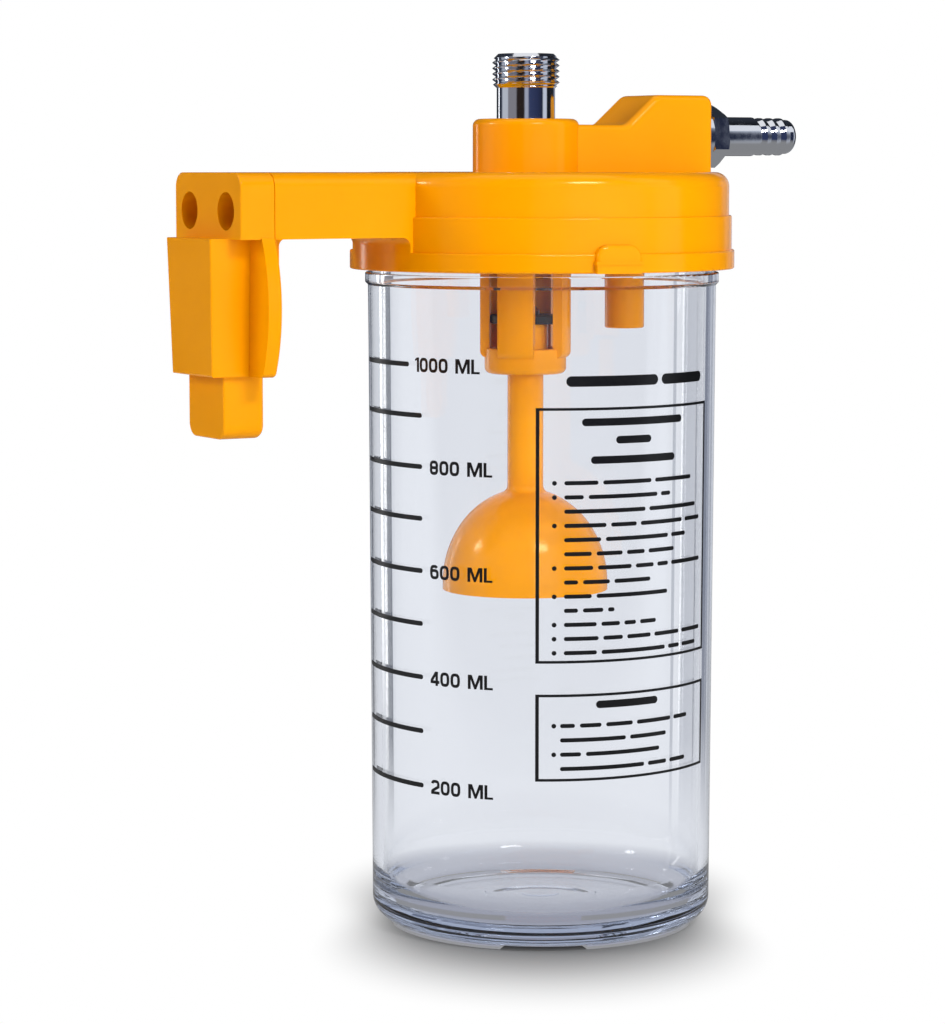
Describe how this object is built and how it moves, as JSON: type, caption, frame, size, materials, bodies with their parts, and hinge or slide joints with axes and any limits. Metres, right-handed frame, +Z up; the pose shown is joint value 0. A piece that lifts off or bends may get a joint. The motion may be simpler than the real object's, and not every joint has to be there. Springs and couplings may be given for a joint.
{
  "type": "suction canister",
  "caption": "Clear screw-top suction jar with an orange lid, threaded vacuum port, hose barb, float shut-off valve and a bolted wall hanger.",
  "frame": {"origin": "on the jar's axis, in the plane that its feet stand on", "axes": "+Z up along the jar's axis, +X towards the hose barb, -X towards the arm and hanger"},
  "size_m": [0.197, 0.112, 0.2492],
  "materials": {
    "clear_jar": "clear moulded polycarbonate",
    "orange_plastic": "gloss moulded orange plastic",
    "chrome_plate": "chrome-plated turned brass",
    "black_rubber": "moulded black rubber",
    "steel": "turned stainless steel",
    "brass_insert": "turned brass"
  },
  "bodies": {
    "jar": {"jar": "clear_jar"},
    "gasket": {"lid_gasket": "black_rubber"},
    "lid": {"lid": "orange_plastic", "vacuum_port": "chrome_plate", "port_seal": "black_rubber", "port_washer": "steel", "port_nut": "steel", "float_cage": "orange_plastic", "hose_barb": "chrome_plate", "barb_washer": "chrome_plate", "barb_seal": "black_rubber", "hanger": "orange_plastic", "hanger_screws": "steel", "hanger_washers": "steel", "arm_inserts": "brass_insert"},
    "float": {"float": "orange_plastic", "valve_carrier": "orange_plastic", "valve_disc": "black_rubber", "disc_pin": "steel"}
  },
  "joints": [
    {"name": "lid_lift", "type": "slide", "parent": "jar", "child": "gasket", "axis": [0, 0, 1], "range_m": [0, 0.1201]},
    {"name": "lid_turn", "type": "hinge", "parent": "gasket", "child": "lid", "pos_m": [0, 0, 0.2], "axis": [0, 0, 1], "range_deg": [0, 1800]},
    {"name": "float_rise", "type": "slide", "parent": "lid", "child": "float", "axis": [0, 0, 1], "range_m": [0, 0.0146]}
  ],
  "couplings": [
    {"joint": "lid_lift", "follows": "lid_turn", "m_per_rad": 0.0038197}
  ]
}
